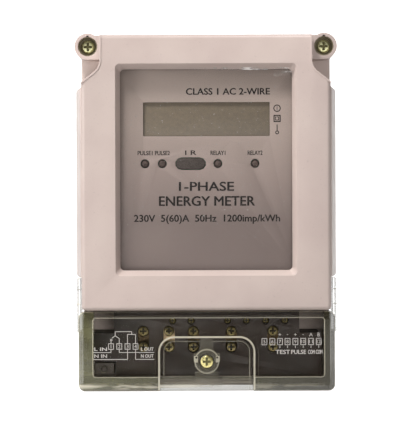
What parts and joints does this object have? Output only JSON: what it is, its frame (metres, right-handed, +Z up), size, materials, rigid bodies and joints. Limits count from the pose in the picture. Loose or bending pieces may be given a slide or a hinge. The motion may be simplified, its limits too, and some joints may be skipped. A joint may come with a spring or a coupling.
{
  "type": "prepaid electricity meter",
  "caption": "Wall-mounted electricity meter with a cream case, framed display window, screw terminals and a smoked clear terminal cover.",
  "frame": {"origin": "centre of the flat rear face that lies on the wall", "axes": "+X across the meter to the right as seen from the front, +Y into the wall, +Z up"},
  "size_m": [0.1194, 0.058, 0.1613],
  "materials": {
    "case_plastic": "fine satin texture, pinkish cream",
    "base_plastic": "fine satin texture, warm grey",
    "seal_rubber": "matt black",
    "clear_plastic": "clear, polished, faint scratches",
    "smoked_plastic": "smoked transparent, polished, olive at its edges",
    "nameplate_silver": "satin silver grey with dark printing",
    "dark_plastic": "matt dark brown",
    "display_glass": "blank olive-grey liquid crystal glass",
    "board_laminate": "green solder resist",
    "relay_plastic": "dark moulded",
    "steel": "zinc plated",
    "brass": "turned brass",
    "copper": "rolled copper alloy",
    "lamp_lens": "dark red tinted lens, unlit",
    "infrared_lens": "near black, polished",
    "block_plastic": "brown black moulding compound",
    "cell_sleeve": "plain sleeve"
  },
  "bodies": {
    "root": {"base": "base_plastic", "front_cover": "case_plastic", "case_gasket": "seal_rubber", "window_pane": "clear_plastic", "nameplate": "nameplate_silver", "face_frame": "dark_plastic", "lcd_panel": "display_glass", "main_board": "board_laminate", "power_transformer": "steel", "relay_1": "relay_plastic", "relay_2": "relay_plastic", "backup_battery": "cell_sleeve", "filter_capacitor": "relay_plastic", "current_shunt": "copper", "infrared_filter": "infrared_lens", "pulse_lamp_1": "lamp_lens", "pulse_lamp_2": "lamp_lens", "relay_lamp_1": "lamp_lens", "relay_lamp_2": "lamp_lens", "terminal_block": "block_plastic", "case_screw_left": "brass", "case_screw_right": "brass", "tamper_switch": "dark_plastic", "main_cage_1": "brass", "main_cage_2": "brass", "main_cage_3": "brass", "main_cage_4": "brass", "main_cage_5": "brass"},
    "hanger": {"hanger": "steel"},
    "terminal_cover": {"terminal_cover": "smoked_plastic"},
    "cover_screw_washer": {"cover_screw_washer": "steel"},
    "cover_screw": {"cover_screw": "brass"},
    "tamper_plunger": {"tamper_plunger": "case_plastic"},
    "clamp_plate_1": {"clamp_plate_1": "steel"},
    "upper_screw_1": {"upper_screw_1": "brass"},
    "lower_screw_1": {"lower_screw_1": "brass"},
    "clamp_plate_2": {"clamp_plate_2": "steel"},
    "upper_screw_2": {"upper_screw_2": "brass"},
    "lower_screw_2": {"lower_screw_2": "brass"},
    "clamp_plate_3": {"clamp_plate_3": "steel"},
    "upper_screw_3": {"upper_screw_3": "brass"},
    "lower_screw_3": {"lower_screw_3": "brass"},
    "clamp_plate_4": {"clamp_plate_4": "steel"},
    "upper_screw_4": {"upper_screw_4": "brass"},
    "lower_screw_4": {"lower_screw_4": "brass"},
    "clamp_plate_5": {"clamp_plate_5": "steel"},
    "upper_screw_5": {"upper_screw_5": "brass"},
    "lower_screw_5": {"lower_screw_5": "brass"},
    "aux_cage_1": {"aux_cage_1": "brass"},
    "aux_screw_1": {"aux_screw_1": "brass"},
    "aux_cage_2": {"aux_cage_2": "brass"},
    "aux_screw_2": {"aux_screw_2": "brass"},
    "aux_cage_3": {"aux_cage_3": "brass"},
    "aux_screw_3": {"aux_screw_3": "brass"},
    "aux_cage_4": {"aux_cage_4": "brass"},
    "aux_screw_4": {"aux_screw_4": "brass"},
    "aux_cage_5": {"aux_cage_5": "brass"},
    "aux_screw_5": {"aux_screw_5": "brass"},
    "aux_cage_6": {"aux_cage_6": "brass"},
    "aux_screw_6": {"aux_screw_6": "brass"}
  },
  "joints": [
    {"name": "hanger_slide", "type": "slide", "parent": "root", "child": "hanger", "axis": [0, 0, 1], "range_m": [0, 0.012]},
    {"name": "terminal_cover_slide", "type": "slide", "parent": "root", "child": "terminal_cover", "axis": [0, -1, 0], "range_m": [0, 0.06]},
    {"name": "cover_screw_travel", "type": "slide", "parent": "terminal_cover", "child": "cover_screw_washer", "axis": [0, -1, 0], "range_m": [0, 0.004]},
    {"name": "cover_screw_turn", "type": "hinge", "parent": "cover_screw_washer", "child": "cover_screw", "pos_m": [0, -0.0523, -0.0668], "axis": [0, -1, 0], "range_deg": [0, 2058]},
    {"name": "tamper_plunger_slide", "type": "slide", "parent": "root", "child": "tamper_plunger", "axis": [0, -1, 0], "range_m": [0, 0.0021]},
    {"name": "clamp_plate_1_slide", "type": "slide", "parent": "root", "child": "clamp_plate_1", "axis": [0, 1, 0], "range_m": [0, 0.003]},
    {"name": "upper_screw_1_turn", "type": "hinge", "parent": "clamp_plate_1", "child": "upper_screw_1", "pos_m": [-0.0286, -0.0453, -0.0534], "axis": [0, 1, 0], "range_deg": [0, 1543]},
    {"name": "lower_screw_1_turn", "type": "hinge", "parent": "clamp_plate_1", "child": "lower_screw_1", "pos_m": [-0.0286, -0.0453, -0.0606], "axis": [0, 1, 0], "range_deg": [0, 1543]},
    {"name": "clamp_plate_2_slide", "type": "slide", "parent": "root", "child": "clamp_plate_2", "axis": [0, 1, 0], "range_m": [0, 0.003]},
    {"name": "upper_screw_2_turn", "type": "hinge", "parent": "clamp_plate_2", "child": "upper_screw_2", "pos_m": [-0.017, -0.0453, -0.0534], "axis": [0, 1, 0], "range_deg": [0, 1543]},
    {"name": "lower_screw_2_turn", "type": "hinge", "parent": "clamp_plate_2", "child": "lower_screw_2", "pos_m": [-0.017, -0.0453, -0.0606], "axis": [0, 1, 0], "range_deg": [0, 1543]},
    {"name": "clamp_plate_3_slide", "type": "slide", "parent": "root", "child": "clamp_plate_3", "axis": [0, 1, 0], "range_m": [0, 0.003]},
    {"name": "upper_screw_3_turn", "type": "hinge", "parent": "clamp_plate_3", "child": "upper_screw_3", "pos_m": [-0.006, -0.0453, -0.0534], "axis": [0, 1, 0], "range_deg": [0, 1543]},
    {"name": "lower_screw_3_turn", "type": "hinge", "parent": "clamp_plate_3", "child": "lower_screw_3", "pos_m": [-0.006, -0.0453, -0.0606], "axis": [0, 1, 0], "range_deg": [0, 1543]},
    {"name": "clamp_plate_4_slide", "type": "slide", "parent": "root", "child": "clamp_plate_4", "axis": [0, 1, 0], "range_m": [0, 0.003]},
    {"name": "upper_screw_4_turn", "type": "hinge", "parent": "clamp_plate_4", "child": "upper_screw_4", "pos_m": [0.0111, -0.0453, -0.0534], "axis": [0, 1, 0], "range_deg": [0, 1543]},
    {"name": "lower_screw_4_turn", "type": "hinge", "parent": "clamp_plate_4", "child": "lower_screw_4", "pos_m": [0.0111, -0.0453, -0.0606], "axis": [0, 1, 0], "range_deg": [0, 1543]},
    {"name": "clamp_plate_5_slide", "type": "slide", "parent": "root", "child": "clamp_plate_5", "axis": [0, 1, 0], "range_m": [0, 0.003]},
    {"name": "upper_screw_5_turn", "type": "hinge", "parent": "clamp_plate_5", "child": "upper_screw_5", "pos_m": [0.0299, -0.0453, -0.0534], "axis": [0, 1, 0], "range_deg": [0, 1543]},
    {"name": "lower_screw_5_turn", "type": "hinge", "parent": "clamp_plate_5", "child": "lower_screw_5", "pos_m": [0.0299, -0.0453, -0.0606], "axis": [0, 1, 0], "range_deg": [0, 1543]},
    {"name": "aux_screw_1_turn", "type": "hinge", "parent": "root", "child": "aux_screw_1", "pos_m": [-0.0154, -0.044, -0.0487], "axis": [0, 1, 0], "range_deg": [0, 1601]},
    {"name": "aux_cage_1_slide", "type": "slide", "parent": "root", "child": "aux_cage_1", "axis": [0, -1, 0], "range_m": [0, 0.002]},
    {"name": "aux_screw_2_turn", "type": "hinge", "parent": "root", "child": "aux_screw_2", "pos_m": [-0.007, -0.044, -0.0487], "axis": [0, 1, 0], "range_deg": [0, 1601]},
    {"name": "aux_cage_2_slide", "type": "slide", "parent": "root", "child": "aux_cage_2", "axis": [0, -1, 0], "range_m": [0, 0.002]},
    {"name": "aux_screw_3_turn", "type": "hinge", "parent": "root", "child": "aux_screw_3", "pos_m": [0.0095, -0.044, -0.0487], "axis": [0, 1, 0], "range_deg": [0, 1601]},
    {"name": "aux_cage_3_slide", "type": "slide", "parent": "root", "child": "aux_cage_3", "axis": [0, -1, 0], "range_m": [0, 0.002]},
    {"name": "aux_screw_4_turn", "type": "hinge", "parent": "root", "child": "aux_screw_4", "pos_m": [0.0179, -0.044, -0.0487], "axis": [0, 1, 0], "range_deg": [0, 1601]},
    {"name": "aux_cage_4_slide", "type": "slide", "parent": "root", "child": "aux_cage_4", "axis": [0, -1, 0], "range_m": [0, 0.002]},
    {"name": "aux_screw_5_turn", "type": "hinge", "parent": "root", "child": "aux_screw_5", "pos_m": [0.0267, -0.044, -0.0487], "axis": [0, 1, 0], "range_deg": [0, 1601]},
    {"name": "aux_cage_5_slide", "type": "slide", "parent": "root", "child": "aux_cage_5", "axis": [0, -1, 0], "range_m": [0, 0.002]},
    {"name": "aux_screw_6_turn", "type": "hinge", "parent": "root", "child": "aux_screw_6", "pos_m": [0.0354, -0.044, -0.0487], "axis": [0, 1, 0], "range_deg": [0, 1601]},
    {"name": "aux_cage_6_slide", "type": "slide", "parent": "root", "child": "aux_cage_6", "axis": [0, -1, 0], "range_m": [0, 0.002]}
  ],
  "couplings": [
    {"joint": "cover_screw_turn", "follows": "cover_screw_travel", "rad_per_m": 8976},
    {"joint": "tamper_plunger_slide", "follows": "terminal_cover_slide", "ratio": 0.033333},
    {"joint": "upper_screw_1_turn", "follows": "clamp_plate_1_slide", "rad_per_m": 8976},
    {"joint": "lower_screw_1_turn", "follows": "clamp_plate_1_slide", "rad_per_m": 8976},
    {"joint": "upper_screw_2_turn", "follows": "clamp_plate_2_slide", "rad_per_m": 8976},
    {"joint": "lower_screw_2_turn", "follows": "clamp_plate_2_slide", "rad_per_m": 8976},
    {"joint": "upper_screw_3_turn", "follows": "clamp_plate_3_slide", "rad_per_m": 8976},
    {"joint": "lower_screw_3_turn", "follows": "clamp_plate_3_slide", "rad_per_m": 8976},
    {"joint": "upper_screw_4_turn", "follows": "clamp_plate_4_slide", "rad_per_m": 8976},
    {"joint": "lower_screw_4_turn", "follows": "clamp_plate_4_slide", "rad_per_m": 8976},
    {"joint": "upper_screw_5_turn", "follows": "clamp_plate_5_slide", "rad_per_m": 8976},
    {"joint": "lower_screw_5_turn", "follows": "clamp_plate_5_slide", "rad_per_m": 8976},
    {"joint": "aux_screw_1_turn", "follows": "aux_cage_1_slide", "rad_per_m": 13963},
    {"joint": "aux_screw_2_turn", "follows": "aux_cage_2_slide", "rad_per_m": 13963},
    {"joint": "aux_screw_3_turn", "follows": "aux_cage_3_slide", "rad_per_m": 13963},
    {"joint": "aux_screw_4_turn", "follows": "aux_cage_4_slide", "rad_per_m": 13963},
    {"joint": "aux_screw_5_turn", "follows": "aux_cage_5_slide", "rad_per_m": 13963},
    {"joint": "aux_screw_6_turn", "follows": "aux_cage_6_slide", "rad_per_m": 13963}
  ]
}
